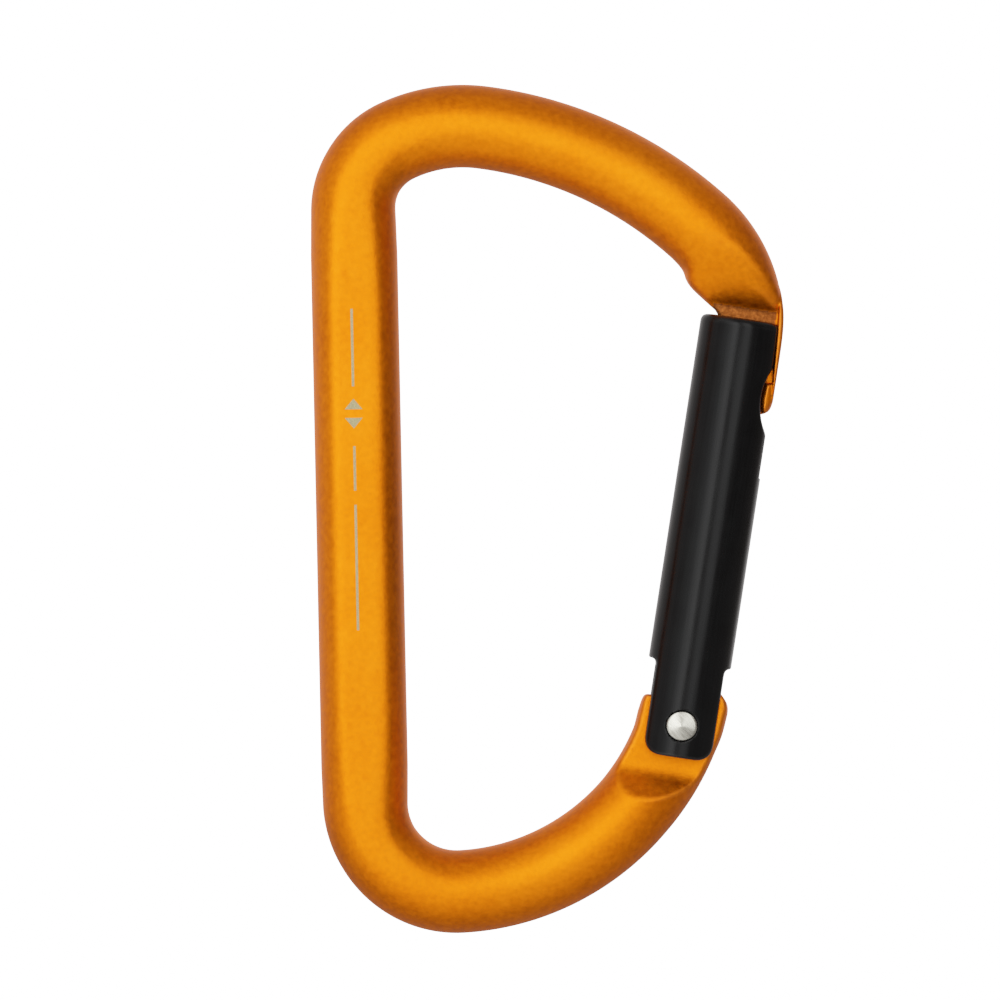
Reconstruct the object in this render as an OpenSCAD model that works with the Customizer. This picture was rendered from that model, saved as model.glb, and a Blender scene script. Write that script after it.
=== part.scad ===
// Snap-gate carabiner, D shape, 80 mm class, 8 mm bar.
// Frame: origin at the crown of the top basket, on the bar's inner side, where a rope carries
// the part. +Z points up from there, +X from the spine to the gate, +Y through the thickness.
// The outline is drawn about the middle of the spine and stood up from the XY into the XZ plane.

/* [Bar] */
// Diameter of the round bar
bar_d = 7.7; // [7.4:0.1:8]
// Width of the pressed spine
spine_w = 8.1; // [7.9:0.1:8.3]
// Thickness of the pressed spine, flat to flat
spine_t = 6.9; // [6.6:0.1:7.2]
// Distance of the spine's centre line from the middle of the outline
spine_x = 18.1; // [17.9:0.1:18.4]

/* [Bends] */
// Height above the middle where the spine ends and the top bend starts
top_start = 27.85; // [27.65:0.05:28.05]
// Radius of the tight bend at the top of the spine
top_tight_r = 8.25; // [8.1:0.05:8.4]
// Radius of the wide top bend
top_wide_r = 34.2; // [34:0.1:34.4]
// Angle of the wide top bend
top_wide_a = 48.2; // [47.8:0.1:48.6]
// Radius of the nose bend
nose_r = 10.9; // [10.7:0.1:11.1]
// Depth below the middle where the spine ends and the bottom bend starts
low_start = 27.7; // [27.4:0.1:28]
// Radius of the tight bend at the bottom of the spine
low_tight_r = 8.4; // [8.3:0.05:8.5]
// Radius of the wide bottom bend that ends in the tongue
low_wide_r = 22.4; // [22.2:0.1:22.7]
// Angle of the wide bottom bend
low_wide_a = 83; // [82:0.5:84]

/* [Gate] */
// Diameter of the gate
gate_d = 7.7; // [7.5:0.1:7.8]
// Lean of the closed gate, outwards from the spine's direction
gate_lean = 9.9; // [9.5:0.1:10.3]
// Length of the gate above the rivet
gate_top = 38.5; // [38.2:0.1:38.7]
// Length of the gate's cheeks below the rivet
gate_low = 3; // [2.8:0.05:3.1]
// Height above the rivet where the cheeks become narrower
shoulder_h = 5.9; // [5.6:0.1:6.2]
// Width of the cheeks below the shoulders
cheek_w = 6.5; // [6.2:0.1:6.8]

/* [Hinge and return spring] */
// Place of the rivet from the middle of the outline, sideways and upwards
pivot = [11.8, -20.8];
// Thickness of the milled tongue
tongue_t = 3.4; // [3:0.1:3.6]
// Radius of the tongue's top about the rivet
tongue_r = 4.65; // [4.6:0.05:4.7]
// Diameter of the rivet's shank
rivet_d = 2.4; // [2.2:0.1:2.5]
// Diameter of the rivet's peened heads
rivet_head_d = 2.76; // [2.7:0.02:2.9]
// Radius of the cam at rest, where the plunger stands on the tongue
cam_r = 3.85; // [3.8:0.05:3.9]
// Rise of the cam for each radian that the gate opens
cam_rise = 1.4; // [1.2:0.1:1.4]
// Diameter of the plunger
plunger_d = 3.5; // [3.3:0.1:3.6]
// Diameter of the spring's wire
wire_d = 0.5; // [0.4:0.05:0.55]

/* [Nose] */
// Thickness of the nose's web
web_t = 1.7; // [1.5:0.1:1.8]
// Height above the rivet of the nose's tip
tip_h = 30.1; // [30:0.1:30.4]
// Height above the rivet of the catch head's shoulder
head_h = 33.1; // [32.9:0.1:33.3]
// Distance of the catch head's inner face from the gate's axis
head_u = 3; // [2.99:0.01:3.1]

/* [Hidden] */
$fn = 96;
far = 60;

// Bar: straight ends past the bends, and how its stretches lie in one another
nose_run = 9;
tongue_run = 3;
spine_taper = 3.6;
draw_down = 0.04;
lap = 0.3;

// Press: where the flats end, how far they fade out, and where the dies end inwards
press_end = 22;
press_fade = 8;
press_in = 11;
press_swell = 0.3;

// Milled steps at both ends of the bar: end of the flat, and the slope's run for its rise
web_flat_h = 39.95;
web_slope = 1.05;
tongue_flat_h = 4.5;
tongue_slope = 1.15;
tongue_shift = 0.15;
tongue_base = 1.2;
mill_w = 9;
mill_low = 20;
mill_over = 0.5;

// Nose, in the gate's frame: inner outline from the hook to the web, and the rounded tip
hook = [[-8, 41.6], [-5.6, 41.3], [-5.2, 40.75], [-3.03, 39.8], [-2.3, 38.9], [1.7, 34.2]];
tip_round = [[3.3, 0], [3.75, 0.3], [4, 0.8], [4.1, 1.6]];

// Fits
rivet_gap = 0.05;
tongue_gap = 0.1;
web_gap = 0.12;
plunger_gap = 0.15;
cam_gap = 0.05;

// Bore of the gate and the parts in it, as heights above the rivet
roof_h = 5.2;
bore_end = 22;
seat_h = 8.6;
stem_d = 1.8;
stem_end = 21.27;
stem_edge = 0.3;
spring_turns = 9;
spring_d = 3.4;
spring_gap = 0.03;
closed_pitch = 1.06 * wire_d;

// Slot and pocket for the nose, as distances from the gate's axis and heights above the rivet
slot_floor_u = -2.45;
slot_run_h = 30.3;
slot_disc_r = 6.2;
pocket = [8.75, 31.6];
pocket_r = 6.05;
relief = [[3.24, 38.5], [3.5, 34.6]];
gate_edge = 0.35;
cheek_corner = 0.8;

// Counterbore of the cheeks for the rivet's heads
head_start = 3;
head_end = 3.72;
head_peak = 3.9;
head_edge = 0.05;

nose_a = 90 + gate_lean - top_wide_a;
ball_r = plunger_d / 2;
bore_d = plunger_d + 2 * plunger_gap;

// Crown of the top basket in the drawing
crown = [top_tight_r - spine_x, top_start + top_tight_r - bar_d / 2];

// Stands the drawing up about the crown, so that drawn X, Y become X, Z
module stand_up() {
    rotate([90, 0, 0]) translate([-crown[0], -crown[1], 0]) children();
}

// Puts the children in the gate's own frame: X across it, Y along its axis from the rivet
module at_gate() {
    translate([pivot[0], pivot[1], 0]) rotate([0, 0, -gate_lean]) children();
}

// A round rod along drawn +Y
module rod(d, from, to) {
    translate([0, from, 0]) rotate([-90, 0, 0]) cylinder(d = d, h = to - from);
}

// Bar that turns right along a list of [bend radius, bend angle], then runs straight.
// Each stretch is a hair thinner than the one before and starts a little way inside it.
module bent_bar(bends, straight, i = 0) {
    d = bar_d - i * draw_down;
    if (i < len(bends)) {
        r = bends[i][0];
        a = bends[i][1];
        back = lap / r * 180 / PI;
        translate([r, 0, 0])
            rotate([0, 0, 180 - a])
                rotate_extrude(angle = a + back)
                    translate([r, 0]) circle(d = d);
        translate([r, 0, 0])
            rotate([0, 0, -a])
                translate([-r, 0, 0]) bent_bar(bends, straight, i + 1);
    } else {
        rod(d, -lap, straight);
    }
}

// Taper from the wide spine to the round bar, ending where the bend starts
module taper(end) {
    translate([0, end - spine_taper - lap, 0])
        rotate([-90, 0, 0])
            cylinder(d1 = spine_w - draw_down, d2 = bar_d + draw_down, h = spine_taper + lap);
}

module whole_bar() {
    translate([-spine_x, 0, 0]) {
        rod(spine_w, spine_taper - low_start, top_start - spine_taper);
        taper(top_start);
        translate([0, top_start, 0])
            bent_bar([[top_tight_r, 90], [top_wide_r, top_wide_a], [nose_r, nose_a]], nose_run);
        mirror([0, 1, 0]) {
            taper(low_start);
            translate([0, low_start, 0])
                bent_bar([[low_tight_r, 90], [low_wide_r, low_wide_a]], tongue_run);
        }
    }
}

// Both sides of the thickness
module both_sides() {
    children();
    mirror([0, 0, 1]) children();
}

// What the press takes off one side of the spine; it fades out along the bends
module press_side() {
    half = spine_t / 2;
    out = bar_d / 2 + press_swell;
    translate([-press_in - far / 2, 0, 0])
        rotate([90, 0, 90])
            linear_extrude(far / 2)
                polygon([
                    [-press_end, half], [press_end, half],
                    [press_end + press_fade, out], [press_end + press_fade, out + 2],
                    [-press_end - press_fade, out + 2], [-press_end - press_fade, out]
                ]);
}

// What a cutter takes off one side, from height h0 to h1, leaving a slope past h1
module milled_side(half, h0, h1, slope) {
    deep = bar_d / 2 + mill_over;
    run = (deep - half) * slope;
    translate([-mill_w, 0, 0])
        rotate([90, 0, 90])
            linear_extrude(2 * mill_w)
                polygon([[h0, half], [h1, half], [h1 + run, deep], [h0, deep]]);
}

// Drawn outline between the nose and the gate, which leaves the hook of the web
module nose_inside() {
    linear_extrude(2 * far, center = true)
        polygon(concat(
            [[hook[0][0], mill_low]], hook, [[hook[len(hook) - 1][0], mill_low]]
        ));
}

// Drawn outline outside the nose's tip
module nose_tip() {
    linear_extrude(2 * far, center = true)
        polygon(concat(
            [[-mill_w, mill_low], [-mill_w, tip_h]],
            [for (p = tip_round) [p[0], tip_h + p[1]]],
            [[mill_w, tip_h + tip_round[3][1]], [mill_w, mill_low]]
        ));
}

// Where the plunger's ball stands, seen from the tongue, when the gate has opened by a
function ball_at(a) = cam_r + ball_r + cam_rise * a * PI / 180;
function radial(a) = [-sin(a), cos(a)];
function around(a) = [-cos(a), -sin(a)];
// Point of the cam that touches the ball there: one ball radius inwards of its path
function cam_point(a) =
    let (c = ball_at(a), n = norm([c, cam_rise]), r = ball_r + cam_gap)
    radial(a) * (c - r * c / n) + around(a) * (r * cam_rise / n);

// What is cut from the tongue's top: outside its round top, and the cam for the plunger
module tongue_top() {
    linear_extrude(2 * far, center = true) {
        difference() {
            translate([-mill_w, tongue_base]) square(2 * mill_w);
            translate([tongue_shift, 0]) circle(r = tongue_r);
        }
        polygon(concat(
            [for (a = [0 : 3 : 30]) cam_point(a)], [radial(30) * mill_w, [0, mill_w]]
        ));
        translate([0, ball_at(0)]) circle(r = ball_r + cam_gap);
    }
}

module body() {
    color("orange") stand_up() difference() {
        whole_bar();
        both_sides() press_side();
        at_gate() {
            both_sides() {
                // Web of the nose, all across above the catch head and inside it below
                milled_side(web_t / 2, head_h, web_flat_h, web_slope);
                translate([head_u - 2 * mill_w, mill_low, web_t / 2])
                    cube([2 * mill_w, head_h + lap - mill_low, bar_d]);
            }
            nose_inside();
            nose_tip();
        }
        at_gate() {
            both_sides() mirror([0, 1, 0])
                milled_side(tongue_t / 2, -mill_w, tongue_flat_h, tongue_slope);
            tongue_top();
            translate([0, 0, -far / 2]) cylinder(d = rivet_d, h = far);
        }
    }
}

// The turned rod of the gate, with a broken edge at its upper end
module gate_rod() {
    r = gate_d / 2;
    rotate([-90, 0, 0])
        rotate_extrude()
            polygon([
                [0, -gate_low], [r, -gate_low], [r, gate_top - gate_edge],
                [r - gate_edge, gate_top], [0, gate_top]
            ]);
}

// Cuts of the gate's lower end: shoulders, rounded corners and the slot for the tongue
module cheek_cuts() {
    r = cheek_corner;
    for (side = [0, 1]) mirror([side, 0, 0]) {
        translate([cheek_w / 2, -far / 2, -far / 2]) cube([far, far / 2 + shoulder_h, far]);
        translate([cheek_w / 2 - r, r - gate_low, -far / 2])
            linear_extrude(far)
                difference() {
                    translate([0, -r]) square(r);
                    circle(r = r);
                }
    }
    slot = tongue_t + 2 * tongue_gap;
    translate([-far / 2, -far / 2, -slot / 2]) cube([far, far / 2 + roof_h, slot]);
}

// Holes of the cheeks: a running fit on the shank, and a counterbore round each head
module cheek_holes() {
    cylinder(d = rivet_d + 2 * rivet_gap, h = far, center = true);
    both_sides() translate([0, 0, head_start - rivet_gap])
        cylinder(d = rivet_head_d + 2 * rivet_gap, h = far / 2);
}

// Cuts of the gate's upper end for the nose's web and its catch head
module nose_cuts() {
    slot = web_t + 2 * web_gap;
    disc_u = slot_floor_u + slot_disc_r - draw_down;
    translate([slot_floor_u, slot_run_h + 2 * lap, -slot / 2]) cube([far, far, slot]);
    translate([disc_u, slot_run_h, -slot / 2]) cylinder(r = slot_disc_r, h = slot);
    translate([pocket[0], pocket[1], -far / 2]) cylinder(r = pocket_r, h = far);
    translate([0, 0, -far / 2]) linear_extrude(far)
        polygon([relief[0], relief[1], [far, relief[1][1]], [far, far], [relief[0][0], far]]);
}

module gate() {
    color("#17181a") stand_up() at_gate() difference() {
        gate_rod();
        cheek_cuts();
        cheek_holes();
        rod(bore_d, roof_h - lap, bore_end);
        nose_cuts();
    }
}

module pivot_rivet() {
    s = rivet_d / 2;
    h = rivet_head_d / 2;
    profile = [[s, head_start], [h, head_start + head_edge], [h, head_end], [0, head_peak]];
    color("silver") stand_up() translate([pivot[0], pivot[1], 0])
        rotate_extrude()
            polygon(concat(profile, [for (i = [3 : -1 : 0]) [profile[i][0], -profile[i][1]]]));
}

module plunger() {
    color("silver") stand_up() at_gate()
        rotate([-90, 0, 0]) rotate_extrude()
            polygon(concat(
                [[0, stem_end], [0, cam_r]],
                [for (a = [10 : 10 : 90]) [ball_r * sin(a), cam_r + ball_r * (1 - cos(a))]],
                [[ball_r, seat_h], [stem_d / 2, seat_h], [stem_d / 2, stem_end - stem_edge],
                 [stem_d / 2 - stem_edge, stem_end]]
            ));
}

// Tube of the given radius along points in space, closed at both ends
module tube(path, r, sides) {
    last = len(path) - 1;
    // Frame of each ring: outwards from the coil's axis, and across the wire
    rings = [for (i = [0 : last])
        let (
            p = path[i],
            ahead = path[min(i + 1, last)] - path[max(i - 1, 0)],
            t = ahead / norm(ahead),
            out = [p[0], 0, p[2]] / norm([p[0], 0, p[2]]),
            e1 = out - (out * t) * t,
            n1 = e1 / norm(e1),
            n2 = cross(t, n1)
        )
        for (k = [0 : sides - 1]) p + r * (cos(360 * k / sides) * n1 + sin(360 * k / sides) * n2)
    ];
    walls = [for (i = [0 : last - 1], k = [0 : sides - 1])
        let (a = i * sides + k, b = i * sides + (k + 1) % sides) [a, a + sides, b + sides, b]
    ];
    ends = [[for (k = [0 : sides - 1]) k], [for (k = [sides - 1 : -1 : 0]) last * sides + k]];
    polyhedron(rings, concat(walls, ends));
}

// Height of the wire's centre: two closed turns at each end, even turns between
function spring_y(t, low, high) =
    let (pitch = closed_pitch, n = spring_turns, inner = high - low - 2 * pitch)
    t < 1 ? low + pitch * t
    : t > n - 1 ? high - pitch * (n - t)
    : low + pitch + inner * (t - 1) / (n - 2);

module return_spring() {
    per_turn = 18;
    r = (spring_d - wire_d) / 2;
    low = seat_h + wire_d / 2 + spring_gap;
    high = bore_end - wire_d / 2 - spring_gap;
    steps = spring_turns * per_turn;
    path = [for (i = [0 : steps])
        let (t = i / per_turn)
        [r * cos(360 * t), spring_y(t, low, high), r * sin(360 * t)]
    ];
    color("gainsboro") stand_up() at_gate() tube(path, wire_d / 2, 8);
}

body();
gate();
pivot_rivet();
return_spring();
plunger();
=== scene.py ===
import math

import bpy
import numpy as np
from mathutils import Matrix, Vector


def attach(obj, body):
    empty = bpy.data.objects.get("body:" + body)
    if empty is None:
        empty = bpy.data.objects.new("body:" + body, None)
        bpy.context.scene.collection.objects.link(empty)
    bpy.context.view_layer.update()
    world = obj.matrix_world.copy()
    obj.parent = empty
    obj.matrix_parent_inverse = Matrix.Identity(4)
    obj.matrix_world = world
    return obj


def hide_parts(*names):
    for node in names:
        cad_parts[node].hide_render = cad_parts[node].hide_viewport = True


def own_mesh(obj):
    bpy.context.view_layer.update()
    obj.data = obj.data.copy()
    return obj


# Sizes are in millimetres. The drawing's frame lies in the part's middle plane, about the middle
# of the outline: X across from the spine to the gate, Z up along the spine, Y through the bar.
MM = 0.001

# Bar: radii, the spine's place, and where its two branches start to bend
SPINE_X = -18.1
SPINE_R, BAR_R, NOSE_BAR_R, TONGUE_BAR_R = 4.08, 3.9, 3.9, 4.07
TOP_START, LOW_START = 28.3, 27.45
TOP_BENDS = [(7.1, 65.9), (14.6, 32.6), (37.7, 34.4), (12.6, 56.4)]
LOW_BENDS = [(8.6, 92.0), (23.0, 81.0)]
NOSE_RUN, TONGUE_RUN = 12.0, 6.0
# Distances along each branch at which the bar's radius goes from the spine's to the ends'
TOP_STATIONS, LOW_STATIONS = (0, 24, 32, 69, 80), (0, 24, 32, 60, 72)

# Pressed flats of the spine: half thickness, where they start to fade, how fast, and edge round
PRESS_HALF, PRESS_END, PRESS_FADE, PRESS_EDGE = 3.45, 19.5, 0.03, 0.4

# Gate's own frame: U across it, outwards, and W along it from the rivet
PIVOT = (11.8, -20.8)
LEAN = math.radians(9.9)
GATE_R, GATE_SHIFT, GATE_TOP, GATE_LOW = 3.92, -0.08, 38.7, -3.0
SHOULDER_W, CHEEK_HALF = 5.9, 3.25
CHEEK_CORNER, ROOF_W, SLOT_HALF = 0.8, 5.2, 1.8
BORE_R, BORE_END = 1.9, 22.0
WEB_SLOT_HALF, WEB_SLOT_FLOOR, WEB_SLOT_RUN, WEB_SLOT_R = 0.97, -2.45, 30.3, 6.2
POCKET, POCKET_R = (8.75, 31.6), 6.05
RELIEF_U, RELIEF_LEAN, RELIEF_LOW = 3.24, 0.067, 33.5
# Rounds of the gate's edges
TOP_ROUND, SHOULDER_ROUND, SIDE_EDGE, SLOT_EDGE = 0.75, 0.6, 0.2, 0.15
COUNTER_EDGE, WEB_SLOT_EDGE, POCKET_EDGE = 0.04, 0.12, 0.16
BORE_LAP = 0.3

# Nose: how far its cutter reaches, web, ramp above it and how its edge softens upwards
NOSE_LOW, CUTTER_HALF, WEB_ROUND = 20, 9, 0.35
WEB_HALF, WEB_TOP, RAMP_RUN, RAMP_SPAN, RAMP_CURVE = 0.85, 39.8, 6.2, 3.4, 1.25
RAMP_SCALE, SOFT_W, SOFT_RUN, SOFT_START, SOFT_GAIN = 0.75, 38, 4, 0.16, 1.2
# Catch head and tip, and the squared outer edge that fades out above the gate
HEAD_W, HEAD_GAP, HEAD_HALF, HEAD_OVER = 33.1, 0.06, 1.9, 0.4
HEAD_EDGE, HEAD_ROUND = 0.15, 0.8
TIP_W, TIP_U, TIP_ROUND, TIP_REACH = 30.0, 4.0, 1.7, 15
STRIP_GAP, STRIP_EDGE, STRIP_ROUND, STRIP_LIFT = 0.02, 0.45, 0.2, 1
STRIP_W, STRIP_HALF = (38.5, 40.0, 41.5, 43.0, 45.0), (1.9, 1.6, 1.0, 0.2, -1.0)
# Inner outline of the hook and web, and the lip where the bar ends in it
HOOK_ROUND = 0.5
HOOK = [(-8.6, 41.5), (-5.95, 41.25), (-5.2, 40.72), (-2.75, 39.15), (-2.4, 38.7), (1.7, 34.2)]
LIP, LIP_R, LIP_DEPTH, LIP_ROUND = (-3.85, 41.9), 1.92, 0.62, 0.9

# Tongue: half thickness, round top, step down from the bar, straight end, cam for the plunger
TONGUE_HALF, TONGUE_R, TONGUE_SHIFT, TONGUE_TOP, TONGUE_EDGE = 1.7, 4.65, 0.15, 16, 0.3
STEP_W, STEP_SLOPE, STEP_ROUND = -4.7, 1.15, 0.6
END_SHIFT, END_R, END_LOW, END_HIGH, END_ROUND = -0.16, 3.97, 0.3, 8, 0.5
DOME_W, DOME_ROUND = 1.2, 0.4
EAR_TOP, EAR_IN, EAR_ROUND = 2.42, -2.9, 0.3
CAM_R, CAM_RISE, BALL_R, CAM_GAP, CAM_END = 3.85, 1.4, 1.75, 0.05, 30.0
CAM_STEPS, CAM_EDGE = 11, 0.1

# Rivet, return spring and plunger
SHANK_R, HEAD_R, HEAD_START, HEAD_RIM, HEAD_PEAK = 1.2, 1.46, 3.0, 3.62, 3.9
HOLE_GAP = 0.03
SPRING_LOW, SPRING_TURNS, COIL_R, WIRE_R = 8.63, 9, 1.45, 0.25
STEM_R, STEM_END = 0.9, 21.27

# Etched marks on the spine: two arrowheads and plain rules, all at one distance across
MARK_X, MARK_PROUD, MARK_SINK = -18.4, 0.02, 0.05
ARROW_WIDE, ARROW_TALL, ARROW_LOWS = 1.7, 1.0, (9.55, 8.75)
RULE_WIDE, RULES = 0.24, [(11.7, 19.0), (1.9, 6.1), (-11.2, 0.6)]

# Light that shows as white. Brightness of the surroundings round the horizon, by degrees to the
# right of the camera. From FRONT_UP to FRONT_END degrees off the horizon, which is lowered by
# FRONT_DROP, it goes over to ABOVE and BELOW.
WHITE = 2.5
HORIZON = [(-180, 1.2), (-120, 0.85), (-60, 0.85), (-35, 1.7), (-15, 4.7), (-10, 4.7), (-6, 1.1),
           (4, 1.1), (8, 2.7), (24, 3.1), (31, 0.45), (50, 0.24), (125, 0.24), (150, 1.2), (180, 1.2)]
FRONT_UP, FRONT_END, FRONT_DROP = 42.0, 76.0, 0.24
ABOVE, BELOW = 0.55, 0.4
# Light dimmer than FULL goes towards the WARM tint
FULL, WARM = 1.5, (1.0, 0.84, 0.8)

# Floor, in metres: its height, radius and thickness, the part of it that glows on to the object,
# and how much it glows on to the object and to the camera
FLOOR_Z, FLOOR_R, FLOOR_DEEP, FLOOR_SIDES = -0.1, 0.38, 0.004, 96
LOW_BOX_Y, LOW_BOX_X, LOW_GLOW, PAPER_GLOW = (-0.04, -0.005), (0.02, 0.06), 0.85, 1.7

# The frame's origin: the crown of the inside of the top bend
CROWN = (-9.85, 32.25)


# ---------------------------------------------------------------- shapes as distance fields

def smooth_max(a, b, k):
    """The larger of two distances, with a round of about k where they meet."""
    h = np.maximum(k - np.abs(a - b), 0) / k
    return np.maximum(a, b) + h * h * k / 4


def smooth_min(a, b, k):
    return -smooth_max(-a, -b, k)


def to_gate(x, z):
    """Drawing's X, Z as the gate's U, W."""
    dx, dz = x - PIVOT[0], z - PIVOT[1]
    return dx * math.cos(LEAN) - dz * math.sin(LEAN), dx * math.sin(LEAN) + dz * math.cos(LEAN)


def branch(start, bends, run):
    """Lines and right-hand arcs of one branch of the bar, from the spine's middle."""
    parts, place, heading, length = [], np.array([SPINE_X, 0.0]), math.radians(90), 0.0
    ahead = np.array([0.0, 1.0])
    parts.append(("line", length, place, ahead, start))
    place, length = place + ahead * start, length + start
    for radius, angle in bends:
        right = np.array([math.sin(heading), -math.cos(heading)])
        centre, turn = place + right * radius, math.radians(angle)
        parts.append(("arc", length, centre, heading + math.radians(90), radius, turn))
        heading, length = heading - turn, length + radius * turn
        left = np.array([-math.sin(heading), math.cos(heading)])
        place = centre + left * radius
    ahead = np.array([math.cos(heading), math.sin(heading)])
    parts.append(("line", length, place, ahead, run))
    return parts


def along(parts, x, z):
    """Arc length and distance, positive outside the D, of the nearest point of a branch."""
    shape = np.broadcast(x, z).shape
    best, where, side = np.full(shape, 1e9), np.zeros(shape), np.zeros(shape)
    for part in parts:
        if part[0] == "line":
            _, length, place, ahead, run = part
            dx, dz = x - place[0], z - place[1]
            t = dx * ahead[0] + dz * ahead[1]
            lateral = dz * ahead[0] - dx * ahead[1]
            over = np.clip(t, 0, run)
            away = np.hypot(t - over, lateral)
        else:
            _, length, centre, first, radius, turn = part
            dx, dz = x - centre[0], z - centre[1]
            ray = np.hypot(dx, dz)
            back = first - np.arctan2(dz, dx)
            back = (back - turn / 2 + math.pi) % (2 * math.pi) - math.pi + turn / 2
            kept = np.clip(back, 0, turn)
            lateral, over = ray - radius, kept * radius
            gap = back - kept
            away = np.sqrt(np.maximum(ray**2 + radius**2 - 2 * ray * radius * np.cos(gap), 0))
        nearer = away < best
        best = np.where(nearer, away, best)
        where = np.where(nearer, length + over, where)
        side = np.where(nearer, np.sign(lateral), side)
    return where, best * side


TOP_BRANCH = branch(TOP_START, TOP_BENDS, NOSE_RUN)
LOW_BRANCH = branch(LOW_START, LOW_BENDS, TONGUE_RUN)


def polygon_distance(points, u, w):
    """Signed distance to a closed polygon, negative inside."""
    best, inside = np.full(np.broadcast(u, w).shape, 1e9), False
    for (u0, w0), (u1, w1) in zip(points, points[1:] + points[:1]):
        eu, ew = u1 - u0, w1 - w0
        t = np.clip(((u - u0) * eu + (w - w0) * ew) / (eu * eu + ew * ew), 0, 1)
        best = np.minimum(best, np.hypot(u - u0 - t * eu, w - w0 - t * ew))
        crosses = (w0 > w) != (w1 > w)
        at = u0 + (w - w0) * eu / (ew if ew else 1e-9)
        inside = inside ^ (crosses & (u < at))
    return np.where(inside, -best, best)


def bent_bar(x, y, z, u, w):
    """Bar with its lip, straight end and pressed flats, and the distance outside the top branch."""
    s_top, n_top = along(TOP_BRANCH, x, np.maximum(z, -30))
    s_low, n_low = along(LOW_BRANCH, x, np.maximum(-z, -30))
    on_top = np.abs(n_top) < np.abs(n_low)
    r_top = np.interp(s_top, TOP_STATIONS, [SPINE_R, SPINE_R, BAR_R, BAR_R, NOSE_BAR_R])
    r_low = np.interp(s_low, LOW_STATIONS, [SPINE_R, SPINE_R, BAR_R, BAR_R, TONGUE_BAR_R])
    n = np.where(on_top, n_top, n_low)
    f = np.hypot(n, y) - np.where(on_top, r_top, r_low)

    lip = np.hypot(u - LIP[0], w - LIP[1])
    f = smooth_min(f, np.sqrt(lip**2 + (LIP_DEPTH * y) ** 2) - LIP_R, LIP_ROUND)

    over = np.maximum(END_LOW - w, 0) + np.maximum(w - END_HIGH, 0)
    end = np.sqrt((u - END_SHIFT) ** 2 + y**2 + over**2) - END_R
    f = smooth_min(f, end, END_ROUND)

    s = np.where(on_top, s_top, s_low)
    fade = np.maximum(s - PRESS_END, 0) * PRESS_FADE
    return smooth_max(f, np.abs(y) - PRESS_HALF - fade, PRESS_EDGE), n_top


def cut_nose(f, ay, u, w, n_top):
    """A cutter from each side leaves a rolled ramp above the web and the catch head below it."""
    near = np.minimum(w - NOSE_LOW, CUTTER_HALF - np.abs(u))
    rise = np.clip((ay - WEB_HALF) / RAMP_SPAN, 0, 1)
    ramp = WEB_TOP + RAMP_RUN * (1 - (1 - rise**RAMP_CURVE) ** (1 / RAMP_CURVE)) - w
    cut = smooth_min(ay - WEB_HALF, ramp * RAMP_SCALE, WEB_ROUND)
    head = np.hypot(u - POCKET[0], w - POCKET[1]) - POCKET_R + HEAD_GAP
    cut = np.minimum(cut, smooth_max(w - HEAD_W, head, HEAD_EDGE))
    soft = SOFT_START + SOFT_GAIN * np.clip((w - SOFT_W) / SOFT_RUN, 0, 1)
    f = smooth_max(f, np.minimum(cut, near), soft)
    low = np.minimum(near, HEAD_W + HEAD_OVER - w)
    f = smooth_max(f, np.minimum(ay - HEAD_HALF, low), HEAD_ROUND)

    strip = smooth_max(ay - np.interp(w, STRIP_W, STRIP_HALF), n_top - NOSE_BAR_R, STRIP_EDGE)
    inner = RELIEF_U + STRIP_GAP + (GATE_TOP - w) * RELIEF_LEAN - u
    strip = smooth_max(smooth_max(strip, inner, STRIP_ROUND), TIP_W + STRIP_LIFT - w, STRIP_ROUND)
    f = smooth_min(f, strip, STRIP_ROUND)

    # Inner outline of the hook and web, closed off below the tip, and the rounded tip
    hook = polygon_distance([(HOOK[0][0], NOSE_LOW)] + HOOK + [(HOOK[-1][0], NOSE_LOW)], u, w)
    f = smooth_max(f, -hook, HOOK_ROUND)
    tip = smooth_max(TIP_W - w, u - TIP_U, TIP_ROUND)
    near = (w > TIP_W - TIP_REACH) & (u > -CUTTER_HALF)
    return smooth_max(f, np.where(near, tip, -CUTTER_HALF), HOOK_ROUND)


def cut_tongue(f, ay, u, w):
    """Flats, step, round top with the cam, and the rivet's hole."""
    near = np.minimum(TONGUE_TOP - w, CUTTER_HALF - np.abs(u))
    step = (w - STEP_W + (ay - TONGUE_HALF) * STEP_SLOPE) / math.hypot(1, STEP_SLOPE)
    cut = smooth_min(ay - TONGUE_HALF, step, STEP_ROUND)
    f = smooth_max(f, np.minimum(cut, near), TONGUE_EDGE)
    dome = np.minimum(w - DOME_W, np.hypot(u - TONGUE_SHIFT, w) - TONGUE_R)
    f = smooth_max(f, np.minimum(dome, near), DOME_ROUND)
    f = smooth_max(f, np.minimum(np.minimum(w - EAR_TOP, EAR_IN - u), near), EAR_ROUND)
    cam = np.full(np.broadcast(u, w).shape, 1e9)
    for a in np.radians(np.linspace(0, CAM_END, CAM_STEPS)):
        c = CAM_R + BALL_R + CAM_RISE * a
        cam = np.minimum(cam, np.hypot(u + c * math.sin(a), w - c * math.cos(a)))
    f = smooth_max(f, BALL_R + CAM_GAP - cam, CAM_EDGE)
    return np.maximum(f, SHANK_R - np.hypot(u, w))


def body_field(x, y, z):
    ay = np.abs(y)
    u, w = to_gate(x, z)
    f, n_top = bent_bar(x, y, z, u, w)
    return cut_tongue(cut_nose(f, ay, u, w, n_top), ay, u, w)


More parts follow.
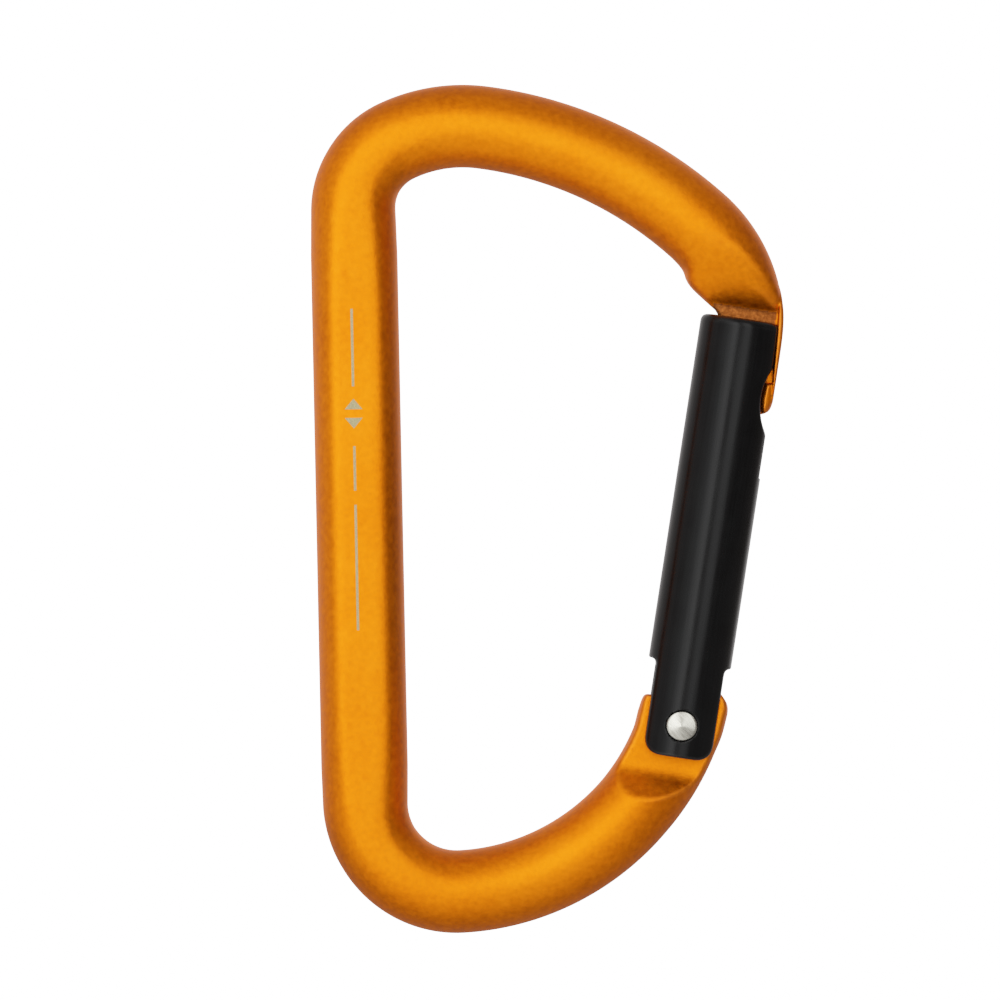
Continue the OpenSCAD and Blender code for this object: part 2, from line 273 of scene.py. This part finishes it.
def gate_field(u, y, w):
    ay, au = np.abs(y), np.abs(u)
    f = np.hypot(u - GATE_SHIFT, y) - GATE_R
    f = smooth_max(f, w - GATE_TOP, TOP_ROUND)
    # Cheeks: shoulders with a small fillet, rounded corners, slot for the tongue
    low = smooth_max(GATE_LOW - w, au - CHEEK_HALF, 2.2 * CHEEK_CORNER)
    side = smooth_min(low, SHOULDER_W - w, SHOULDER_ROUND)
    f = smooth_max(f, side, SIDE_EDGE)
    f = smooth_max(f, smooth_min(SLOT_HALF - ay, ROOF_W - w, SLOT_EDGE), SLOT_EDGE)
    bore = np.minimum(BORE_R - np.hypot(u, y), np.minimum(BORE_END - w, w - ROOF_W + BORE_LAP))
    f = np.maximum(f, bore)
    ring = np.hypot(u, w)
    f = np.maximum(f, SHANK_R + HOLE_GAP - ring)
    counter = np.minimum(HEAD_R + HOLE_GAP - ring, ay - HEAD_START + HOLE_GAP)
    f = smooth_max(f, counter, COUNTER_EDGE)
    # Slot for the web with its round run-out, and the pocket and relief for the catch head
    centre = WEB_SLOT_FLOOR + WEB_SLOT_R
    disc = WEB_SLOT_R - np.hypot(u - centre, w - WEB_SLOT_RUN)
    slot = np.maximum(disc, np.minimum(u - WEB_SLOT_FLOOR, w - WEB_SLOT_RUN))
    f = smooth_max(f, np.minimum(WEB_SLOT_HALF - ay, slot), WEB_SLOT_EDGE)
    pocket = POCKET_R - np.hypot(u - POCKET[0], w - POCKET[1])
    relief = u - RELIEF_U - (GATE_TOP - w) * RELIEF_LEAN
    relief = np.minimum(relief, w - RELIEF_LOW)
    return smooth_max(f, np.maximum(pocket, relief), POCKET_EDGE)


# ---------------------------------------------------------------- meshes from fields

def axis(low, high, coarse, fine_parts, fine):
    """Grid coordinates from low to high, with small steps inside the given parts."""
    edges = sorted({low, high, *[min(max(e, low), high) for part in fine_parts for e in part]})
    runs = []
    for a, b in zip(edges, edges[1:]):
        middle = (a + b) / 2
        step = fine if any(p[0] <= middle <= p[1] for p in fine_parts) else coarse
        runs.append(np.linspace(a, b, max(2, math.ceil((b - a) / step) + 1))[:-1])
    return np.append(np.concatenate(runs), high)


def surface(field, xs, ys, zs):
    """Quads on the field's zero surface, one vertex in each grid cell that the surface crosses."""
    f = field(xs[:, None, None], ys[None, :, None], zs[None, None, :])
    f = np.broadcast_to(f, (len(xs), len(ys), len(zs)))
    inside = f < 0
    cells = [len(xs) - 1, len(ys) - 1, len(zs) - 1]
    total, count = np.zeros(cells + [3]), np.zeros(cells, int)
    grids = [xs, ys, zs]
    crossings = []
    for d in range(3):
        a = [slice(None)] * 3
        b = [slice(None)] * 3
        a[d], b[d] = slice(0, -1), slice(1, None)
        i, j, k = np.nonzero(inside[tuple(a)] != inside[tuple(b)])
        e = np.stack([i, j, k], 1)
        far = e.copy()
        far[:, d] += 1
        f0, f1 = f[i, j, k], f[far[:, 0], far[:, 1], far[:, 2]]
        t = f0 / (f0 - f1)
        p = np.stack([grids[q][e[:, q]] for q in range(3)], 1).astype(float)
        p[:, d] += t * (grids[d][far[:, d]] - grids[d][e[:, d]])
        others = [q for q in range(3) if q != d]
        around = []
        for da, db in ((-1, -1), (0, -1), (0, 0), (-1, 0)):
            c = e.copy()
            c[:, others[0]] += da
            c[:, others[1]] += db
            ok = np.all((c >= 0) & (c < np.array(cells)), 1)
            np.add.at(total, tuple(c[ok].T), p[ok])
            np.add.at(count, tuple(c[ok].T), 1)
            around.append(c)
        flip = (f0 < 0) == (d == 1)
        crossings.append((np.stack(around, 1), flip))
    used = count > 0
    index = np.full(cells, -1)
    index[used] = np.arange(used.sum())
    points = total[used] / count[used][:, None]
    faces = []
    for around, flip in crossings:
        quad = index[around[..., 0], around[..., 1], around[..., 2]]
        quad[flip] = quad[flip][:, ::-1]
        faces.append(quad)
    return points, np.concatenate(faces)


def slope(field, p, eps=0.01):
    out = np.empty_like(p)
    for d in range(3):
        step = np.zeros(3)
        step[d] = eps
        out[:, d] = (field(*(p + step).T) - field(*(p - step).T)) / (2 * eps)
    return out


def settle(field, p, rounds=4, reach=0.25):
    """Moves points onto the zero surface, and returns them with the surface's normals."""
    start = p.copy()
    for _ in range(rounds):
        g = slope(field, p)
        step = (field(*p.T) / np.maximum((g * g).sum(1), 0.1))[:, None] * g
        p = start + np.clip(p - step - start, -reach, reach)
    g = slope(field, p)
    return p, g / np.maximum(np.linalg.norm(g, axis=1), 1e-9)[:, None]


def mark(piece, name, values):
    made = piece.data.attributes.new(name, "FLOAT", "POINT")
    made.data.foreach_set("value", np.asarray(values, np.float32))


def sharpness(field, p, reach=0.12):
    """From 0 on gentle curves to 1 on outer edges: how fast the surface bends away at p."""
    total = -6 * field(*p.T)
    for d in range(3):
        step = np.zeros(3)
        step[d] = reach
        total = total + field(*(p + step).T) + field(*(p - step).T)
    return np.clip((total / reach**2 - 0.8) / 2.5, 0, 1)


def stand(p):
    """Drawing's points in millimetres as points in the frame, in metres."""
    return (p - np.array([CROWN[0], 0.0, CROWN[1]])) * MM


def from_gate(p):
    """Gate's U, Y, W as the drawing's X, Y, Z."""
    u, w = p[:, 0], p[:, 2]
    x = PIVOT[0] + u * math.cos(LEAN) + w * math.sin(LEAN)
    z = PIVOT[1] - u * math.sin(LEAN) + w * math.cos(LEAN)
    return np.stack([x, p[:, 1], z], 1)


def turn_from_gate(v):
    return from_gate(v) - np.array([PIVOT[0], 0.0, PIVOT[1]])


def build(name, points, faces, normals=None):
    mesh = bpy.data.meshes.new(name)
    mesh.from_pydata(points, [], faces.tolist() if hasattr(faces, "tolist") else faces)
    mesh.update()
    mesh.shade_smooth()
    if normals is not None:
        mesh.normals_split_custom_set_from_vertices(normals)
    piece = bpy.data.objects.new(name, mesh)
    bpy.context.scene.collection.objects.link(piece)
    return piece


def body_piece():
    xs = axis(-22.6, 22.6, 0.26, [(8.0, 22.6)], 0.15)
    ys = axis(-4.3, 4.3, 0.15, [], 0.15)
    zs = axis(-40.4, 40.4, 0.26, [(-29.5, -15.0), (7.0, 23.5)], 0.15)
    p, faces = surface(body_field, xs, ys, zs)
    p, n = settle(body_field, p)
    piece = build("carabiner_body", stand(p), faces, n)
    u, w = to_gate(p[:, 0], p[:, 2])
    flat = (np.abs(p[:, 1]) < WEB_HALF + 0.12) & (w > HEAD_W) & (w < WEB_TOP) & (np.abs(u) < 3)
    mark(piece, "milled", flat)
    mark(piece, "edge", sharpness(body_field, p))
    return piece


def marks_piece():
    """Arrowheads that point along the spine both ways, and plain rules, a hair proud of the flat."""
    half = ARROW_WIDE / 2
    outlines = []
    for low, tall in zip(ARROW_LOWS, (ARROW_TALL, -ARROW_TALL)):
        side = [(MARK_X - half, low), (MARK_X + half, low), (MARK_X, low + tall)]
        outlines.append(side if tall > 0 else side[::-1])
    for low, high in RULES:
        left, right = MARK_X - RULE_WIDE / 2, MARK_X + RULE_WIDE / 2
        outlines.append([(left, low), (right, low), (right, high), (left, high)])
    points, faces = [], []
    for outline in outlines:
        start, count = len(points), len(outline)
        for y in (-PRESS_HALF - MARK_PROUD, -PRESS_HALF + MARK_SINK):
            points += [(x, y, z) for x, z in outline]
        front = list(range(start, start + count))
        back = [k + count for k in front]
        faces += [tuple(front), tuple(back[::-1])]
        for a, b in zip(range(count), [*range(1, count), 0]):
            faces.append((front[b], front[a], back[a], back[b]))
    piece = build("spine_marks", stand(np.array(points)), faces)
    piece.data.shade_flat()
    return piece


def gate_piece():
    us = axis(-4.1, 4.1, 0.15, [], 0.15)
    ws = axis(-3.3, 38.8, 0.3, [(-3.3, 6.6), (23.5, 38.8)], 0.14)
    p, faces = surface(gate_field, us, us, ws)
    p, n = settle(gate_field, p)
    piece = build("gate_sleeve", stand(from_gate(p)), faces, turn_from_gate(n))
    mark(piece, "edge", sharpness(gate_field, p))
    return piece


def lathe(profile, sides):
    """Rings of points (radius, height) about the height axis, closed at both ends."""
    turns = np.arange(sides) * 2 * math.pi / sides
    rings = [np.stack([r * np.cos(turns), np.full(sides, h), r * np.sin(turns)], 1)
             for r, h in profile[1:-1]]
    points = np.concatenate([[[0, profile[0][1], 0]], *rings, [[0, profile[-1][1], 0]]])
    faces, last = [], len(points) - 1
    for k in range(sides):
        m = (k + 1) % sides
        faces.append((0, 1 + k, 1 + m))
        for i in range(len(rings) - 1):
            a, b = 1 + i * sides, 1 + (i + 1) * sides
            faces.append((a + k, b + k, b + m, a + m))
        a = 1 + (len(rings) - 1) * sides
        faces.append((last, a + m, a + k))
    return points, faces


def rivet_piece():
    """Shank with a head at each end: a low cone with a rounded rim and a blunt point."""
    t = np.linspace(0.05, 1, 11)[:-1]
    cone = list(zip(HEAD_R * (1 - t), HEAD_RIM + (HEAD_PEAK - HEAD_RIM) * t**0.85))
    rim = [(HEAD_R, HEAD_START + 0.1), (HEAD_R, HEAD_RIM - 0.12), (HEAD_R - 0.02, HEAD_RIM - 0.04)]
    half = [(SHANK_R, HEAD_START), (HEAD_R - 0.03, HEAD_START + 0.04)] + rim + cone
    half.append((0, HEAD_PEAK))
    profile = [(r, -h) for r, h in reversed(half)] + half
    points, faces = lathe(profile, 72)
    points = points + np.array([PIVOT[0], 0, PIVOT[1]])
    return build("pivot_rivet_turned", stand(points), faces)


def plunger_piece():
    ball = [(BALL_R * math.sin(a), CAM_R + BALL_R * (1 - math.cos(a)))
            for a in np.radians(np.linspace(0, 90, 13))]
    seat = SPRING_LOW - 0.03
    profile = ball + [(BALL_R, seat - 0.12), (BALL_R - 0.12, seat), (STEM_R, seat),
                      (STEM_R, STEM_END - 0.3), (STEM_R - 0.3, STEM_END), (0, STEM_END)]
    points, faces = lathe(profile, 48)
    points = points[:, [0, 2, 1]]
    faces = [f[::-1] for f in faces]
    return build("plunger_turned", stand(from_gate(points)), faces)


def spring_piece():
    """Round wire with closed, even coils at both ends."""
    pitch, sides, per_turn = WIRE_R * 2.12, 12, 36
    low, high = SPRING_LOW + WIRE_R, BORE_END - 0.03 - WIRE_R
    t = np.linspace(0, SPRING_TURNS, SPRING_TURNS * per_turn + 1)
    w = np.interp(t, [0, 1, SPRING_TURNS - 1, SPRING_TURNS],
                  [low, low + pitch, high - pitch, high])
    a = t * 2 * math.pi
    line = np.stack([COIL_R * np.cos(a), COIL_R * np.sin(a), w], 1)
    ahead = np.gradient(line, axis=0)
    ahead /= np.linalg.norm(ahead, axis=1)[:, None]
    out = np.stack([np.cos(a), np.sin(a), 0 * a], 1)
    out -= (out * ahead).sum(1)[:, None] * ahead
    out /= np.linalg.norm(out, axis=1)[:, None]
    over = np.cross(ahead, out)
    rings = [line + WIRE_R * (math.cos(b) * out + math.sin(b) * over)
             for b in np.arange(sides) * 2 * math.pi / sides]
    points = np.stack(rings, 1).reshape(-1, 3)
    faces = []
    for i in range(len(t) - 1):
        for k in range(sides):
            m = (k + 1) % sides
            faces.append((i * sides + k, i * sides + m, (i + 1) * sides + m, (i + 1) * sides + k))
    faces.append(tuple(range(sides))[::-1])
    faces.append(tuple((len(t) - 1) * sides + k for k in range(sides)))
    return build("return_spring_coil", stand(from_gate(points)), faces)


# ---------------------------------------------------------------- materials

def add(tree, kind, settings=None, **inputs):
    """A shader node; its inputs are constants or other nodes' outputs."""
    made = tree.nodes.new("ShaderNode" + kind)
    for key, value in (settings or {}).items():
        setattr(made, key, value)
    for key, value in inputs.items():
        socket = made.inputs[key.replace("_", " ")]
        if isinstance(value, bpy.types.NodeSocket):
            tree.links.new(value, socket)
        else:
            socket.default_value = value
    return made


def blend_of(tree, operation, a, b):
    made = tree.nodes.new("ShaderNodeMath")
    made.operation = operation
    for socket, value in zip(made.inputs, (a, b)):
        if isinstance(value, bpy.types.NodeSocket):
            tree.links.new(value, socket)
        else:
            socket.default_value = value
    return made.outputs[0]


def span(tree, value, low, high, start, end):
    """Maps low..high to start..end."""
    return add(tree, "MapRange", Value=value, From_Min=low, From_Max=high, To_Min=start,
               To_Max=end).outputs["Result"]


def tones(tree, value, stops):
    """Colour that runs through (place, colour) stops as value goes from 0 to 1."""
    ramp = add(tree, "ValToRGB", Fac=value)
    colours = ramp.color_ramp.elements
    colours[0].position, colours[1].position = stops[0][0], stops[-1][0]
    colours[0].color, colours[1].color = (*stops[0][1], 1), (*stops[-1][1], 1)
    for place, colour in stops[1:-1]:
        colours.new(place).color = (*colour, 1)
    return ramp.outputs["Color"]


def spots(tree, place, size_mm, detail=3.0):
    """Soft random spots of about the given size, from 0 to 1."""
    noise = add(tree, "TexNoise", Vector=place, Scale=1 / (size_mm * MM), Detail=detail)
    return noise.outputs["Fac"]


def new_material(name, **values):
    material = bpy.data.materials.new(name)
    material.use_nodes = True
    shader = material.node_tree.nodes["Principled BSDF"]
    for key, value in values.items():
        shader.inputs[key.replace("_", " ")].default_value = value
    return material, material.node_tree, shader


def wire_up(tree, shader, colour, roughness, height, depth_mm):
    bump = add(tree, "Bump", Height=height, Distance=depth_mm * MM, Strength=1.0)
    tree.links.new(colour, shader.inputs["Base Color"])
    tree.links.new(roughness, shader.inputs["Roughness"])
    tree.links.new(bump.outputs["Normal"], shader.inputs["Normal"])


def worn(tree, place, colour, bare, amount):
    """Colour that goes towards bare in patches along the outer edges."""
    edge = add(tree, "Attribute", {"attribute_name": "edge"}).outputs["Fac"]
    patch = span(tree, spots(tree, place, 1.2, 4.0), 0.4, 0.65, 0.15, amount)
    share = blend_of(tree, "MULTIPLY", edge, patch)
    return add(tree, "MixRGB", Fac=share, Color1=colour, Color2=(*bare, 1)).outputs["Color"]


def anodised_orange():
    """Bead-blasted and dyed aluminium, coarser and duller on the milled web of the nose."""
    material, tree, shader = new_material("anodised_orange", Metallic=1.0)
    place = add(tree, "TexCoord").outputs["Object"]
    mottle = spots(tree, place, 0.55, 4.0)
    cloud = spots(tree, place, 14.0)
    grain = spots(tree, place, 0.16, 2.0)
    shade = blend_of(tree, "ADD", blend_of(tree, "MULTIPLY", mottle, 0.6),
                     blend_of(tree, "MULTIPLY", cloud, 0.4))
    dyed = tones(tree, shade, [(0.34, (0.76, 0.16, 0.003)), (0.5, (0.88, 0.202, 0.004)),
                               (0.66, (0.98, 0.246, 0.006))])
    milled = add(tree, "Attribute", {"attribute_name": "milled"}).outputs["Fac"]
    chatter = spots(tree, place, 0.3, 4.0)
    coarse = tones(tree, chatter, [(0.35, (0.26, 0.07, 0.012)), (0.65, (0.5, 0.15, 0.03))])
    both = add(tree, "MixRGB", Fac=milled, Color1=dyed, Color2=coarse).outputs["Color"]
    colour = worn(tree, place, both, (0.92, 0.34, 0.08), 0.2)
    roughness = blend_of(tree, "ADD", span(tree, mottle, 0.3, 0.7, 0.42, 0.52),
                         blend_of(tree, "MULTIPLY", milled, 0.12))
    height = blend_of(tree, "ADD", blend_of(tree, "ADD", grain, chatter),
                      blend_of(tree, "MULTIPLY", chatter, milled))
    wire_up(tree, shader, colour, roughness, height, 0.014)
    return material


def anodised_black():
    """Satin black aluminium with faint lines along the tube."""
    material, tree, shader = new_material("anodised_black", Metallic=0.0)
    shader.inputs["Specular IOR Level"].default_value = 0.13
    place = add(tree, "TexCoord").outputs["Object"]
    turned = add(tree, "Mapping", Vector=place, Rotation=(0, -LEAN, 0)).outputs["Vector"]
    drawn = add(tree, "Mapping", Vector=turned, Scale=(1, 1, 0.03)).outputs["Vector"]
    lines = spots(tree, drawn, 0.22, 3.0)
    blotch = spots(tree, place, 2.5, 4.0)
    grain = spots(tree, place, 0.12, 2.0)
    shade = blend_of(tree, "ADD", blend_of(tree, "MULTIPLY", lines, 0.5),
                     blend_of(tree, "MULTIPLY", blotch, 0.5))
    dyed = tones(tree, shade, [(0.35, (0.0020, 0.0021, 0.0022)), (0.65, (0.0038, 0.0040, 0.0042))])
    colour = worn(tree, place, dyed, (0.03, 0.03, 0.03), 0.5)
    roughness = span(tree, shade, 0.35, 0.65, 0.18, 0.26)
    height = blend_of(tree, "ADD", lines, blend_of(tree, "MULTIPLY", grain, 0.5))
    wire_up(tree, shader, colour, roughness, height, 0.004)
    return material


def turned_steel(name, centre, direction, roughness):
    """Bright steel with turning rings about an axis and a few brush lines across it."""
    material, tree, shader = new_material(name, Metallic=1.0)
    place = add(tree, "TexCoord").outputs["Object"]
    own = add(tree, "Mapping", Vector=place, Location=tuple(-c for c in centre)).outputs["Vector"]
    rings = add(tree, "TexWave", {"wave_type": "RINGS", "rings_direction": direction},
                Vector=own, Scale=2200.0, Distortion=1.2, Detail=2.0).outputs["Fac"]
    slant = add(tree, "Mapping", Vector=own, Rotation=(0, 0.7, 0)).outputs["Vector"]
    brushed = add(tree, "Mapping", Vector=slant, Scale=(1, 1, 0.06)).outputs["Vector"]
    lines = spots(tree, brushed, 0.14, 3.0)
    stain = spots(tree, place, 0.9, 3.0)
    shade = blend_of(tree, "ADD", blend_of(tree, "MULTIPLY", lines, 0.6),
                     blend_of(tree, "MULTIPLY", stain, 0.4))
    colour = tones(tree, shade, [(0.35, (0.36, 0.355, 0.31)), (0.65, (0.55, 0.545, 0.49))])
    gloss = span(tree, shade, 0.35, 0.65, roughness - 0.05, roughness + 0.08)
    height = blend_of(tree, "ADD", lines, blend_of(tree, "MULTIPLY", rings, 0.35))
    wire_up(tree, shader, colour, gloss, height, 0.005)
    return material


def spring_wire():
    """Drawn music wire: bright, with fine die lines and a trace of straw colour."""
    material, tree, shader = new_material("spring_wire_drawn", Metallic=1.0)
    place = add(tree, "TexCoord").outputs["Object"]
    tarnish = spots(tree, place, 1.6)
    lines = spots(tree, place, 0.07, 4.0)
    colour = tones(tree, tarnish, [(0.35, (0.40, 0.39, 0.37)), (0.65, (0.56, 0.53, 0.46))])
    roughness = span(tree, lines, 0.35, 0.65, 0.2, 0.34)
    wire_up(tree, shader, colour, roughness, lines, 0.002)
    return material


def etched_mark():
    """Laser-etched grey, where the dye is burnt off to rough bare metal."""
    material, tree, shader = new_material("etched_mark", Metallic=0.6)
    place = add(tree, "TexCoord").outputs["Object"]
    burn = spots(tree, place, 0.12, 3.0)
    colour = tones(tree, burn, [(0.3, (0.30, 0.26, 0.13)), (0.7, (0.50, 0.45, 0.27))])
    roughness = span(tree, burn, 0.3, 0.7, 0.5, 0.65)
    wire_up(tree, shader, colour, roughness, burn, 0.006)
    return material


def pale_floor():
    """Plain pale paper. It glows: evenly for the camera, so that it stays near white, and in
    front of the object for everything else, like a low soft box."""
    material, tree, shader = new_material("pale_floor", Roughness=0.9)
    place = add(tree, "TexCoord").outputs["Object"]
    fibre = spots(tree, place, 3.0, 4.0)
    colour = tones(tree, fibre, [(0.3, (0.46, 0.46, 0.45)), (0.7, (0.50, 0.50, 0.49))])
    wire_up(tree, shader, colour, span(tree, fibre, 0.3, 0.7, 0.85, 0.95), fibre, 0.05)
    seen = add(tree, "LightPath").outputs["Is Camera Ray"]
    sides = add(tree, "SeparateXYZ", Vector=place).outputs
    low_box = blend_of(tree, "MULTIPLY", span(tree, sides["Y"], *LOW_BOX_Y, LOW_GLOW, 0.0),
                       span(tree, sides["X"], *LOW_BOX_X, 1.0, 0.1))
    glow = span(tree, seen, 0, 1, low_box, PAPER_GLOW)
    tree.links.new(glow, shader.inputs["Emission Strength"])
    shader.inputs["Emission Color"].default_value = (1, 1, 1, 1)
    return material


# ---------------------------------------------------------------- scene

def camera():
    """Looks straight at the front through a long lens, turned a little as the part leans."""
    roll, distance, wide = math.radians(1.17), 900.0, 94.23
    aim = (5.02, -31.49)
    data = bpy.data.cameras.new("camera")
    data.sensor_width, data.lens = 36, 36 * distance / wide
    data.clip_start, data.clip_end = 0.01, 10
    eye = bpy.data.objects.new("camera", data)
    bpy.context.scene.collection.objects.link(eye)
    eye.rotation_euler = (math.radians(90), roll, 0)
    eye.location = (aim[0] * MM, -distance * MM, aim[1] * MM)
    bpy.context.scene.camera = eye


def film(strength=1.0, white=WHITE, stops=9):
    """Plain display, with a film's soft shoulder: bright channels flatten out before white."""
    view = bpy.context.scene.view_settings
    view.view_transform = "Standard"
    view.use_curve_mapping = True
    mapping = view.curve_mapping
    mapping.white_level = (white, white, white)
    curve = mapping.curves[3].points
    top = 1 - math.exp(-strength * white)
    for k in range(1, stops):
        x = (k / stops) ** 2
        curve.new(x, (1 - math.exp(-strength * white * x)) / top)
    mapping.update()


def tinted(strength):
    """Colour of a light of the given strength: dim ones are warm."""
    share = min(strength / FULL, 1.0)
    return tuple(strength * (c + (1 - c) * share) for c in WARM)


def studio():
    """Soft boxes on both sides of the camera in a dim band, with even light above and below."""
    world = bpy.data.worlds.new("studio")
    bpy.context.scene.world = world
    world.use_nodes = True
    tree = world.node_tree
    way = add(tree, "TexCoord").outputs["Generated"]
    parts = add(tree, "SeparateXYZ", Vector=way).outputs
    turn = blend_of(tree, "ARCTAN2", parts["X"], blend_of(tree, "MULTIPLY", parts["Y"], -1))
    share = span(tree, turn, -math.pi, math.pi, 0.0, 1.0)
    band = tones(tree, share, [((a + 180) / 360, tinted(b)) for a, b in HORIZON])
    height = blend_of(tree, "ABSOLUTE", blend_of(tree, "ADD", parts["Z"], FRONT_DROP), 0)
    far = add(tree, "MapRange", {"interpolation_type": "SMOOTHSTEP"}, Value=height,
              From_Min=math.sin(math.radians(FRONT_UP)), From_Max=math.sin(math.radians(FRONT_END)))
    ends = tones(tree, span(tree, parts["Z"], -0.5, 0.5, 0, 1),
                 [(0, tinted(BELOW)), (1, tinted(ABOVE))])
    light = add(tree, "MixRGB", Fac=far.outputs["Result"], Color1=band, Color2=ends)
    soft = tree.nodes["Background"]
    tree.links.new(light.outputs["Color"], soft.inputs["Color"])
    white = add(tree, "Background", Color=(1, 1, 1, 1), Strength=WHITE)
    seen = add(tree, "LightPath").outputs["Is Camera Ray"]
    mix = add(tree, "MixShader", Fac=seen)
    tree.links.new(soft.outputs[0], mix.inputs[1])
    tree.links.new(white.outputs[0], mix.inputs[2])
    tree.links.new(mix.outputs[0], tree.nodes["World Output"].inputs["Surface"])


def key_lamp():
    """Large soft lamp high on the left."""
    data = bpy.data.lights.new("key", "AREA")
    data.shape, data.size, data.size_y, data.energy = "RECTANGLE", 0.7, 0.7, 1.2
    lamp = bpy.data.objects.new("key", data)
    bpy.context.scene.collection.objects.link(lamp)
    lamp.location = (-0.55, -0.5, 0.75)
    towards = Vector((0.01, 0, -0.032)) - lamp.location
    lamp.rotation_euler = towards.to_track_quat("-Z", "Y").to_euler()


def floor():
    """A wide thin disc under the object, below the main camera's picture."""
    turns = np.arange(FLOOR_SIDES) * 2 * math.pi / FLOOR_SIDES
    count = FLOOR_SIDES
    points = [(FLOOR_R * math.cos(a), FLOOR_R * math.sin(a), FLOOR_Z + h)
              for h in (0.0, -FLOOR_DEEP) for a in turns]
    faces = [tuple(range(count)), tuple(range(2 * count - 1, count - 1, -1))]
    faces += [(k, count + k, count + (k + 1) % count, (k + 1) % count) for k in range(count)]
    mesh = bpy.data.meshes.new("floor")
    mesh.from_pydata(points, [], faces)
    mesh.materials.append(pale_floor())
    disc = bpy.data.objects.new("floor", mesh)
    bpy.context.scene.collection.objects.link(disc)


def show(piece, material, body, node):
    piece.data.materials.append(material)
    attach(piece, body)
    if node:
        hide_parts(node)
    return piece


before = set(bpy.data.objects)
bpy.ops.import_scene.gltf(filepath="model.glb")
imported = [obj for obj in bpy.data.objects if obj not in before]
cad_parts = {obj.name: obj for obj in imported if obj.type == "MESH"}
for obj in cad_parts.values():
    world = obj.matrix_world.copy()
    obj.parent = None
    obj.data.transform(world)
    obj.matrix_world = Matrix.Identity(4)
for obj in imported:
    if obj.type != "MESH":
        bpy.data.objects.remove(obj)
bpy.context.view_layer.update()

camera()
film()
studio()
key_lamp()
floor()

rivet_place = stand(np.array([PIVOT[0], 0.0, PIVOT[1]]))
show(body_piece(), anodised_orange(), "frame", "body")
show(marks_piece(), etched_mark(), "frame", None)
show(gate_piece(), anodised_black(), "gate_arm", "gate")
show(rivet_piece(), turned_steel("rivet_steel_turned", rivet_place, "Y", 0.24), "frame",
     "pivot_rivet")
show(plunger_piece(), turned_steel("plunger_steel_turned", rivet_place, "Z", 0.22), "plunger_pin",
     "plunger")
spring = show(spring_piece(), spring_wire(), "gate_arm", "return_spring")
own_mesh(spring)
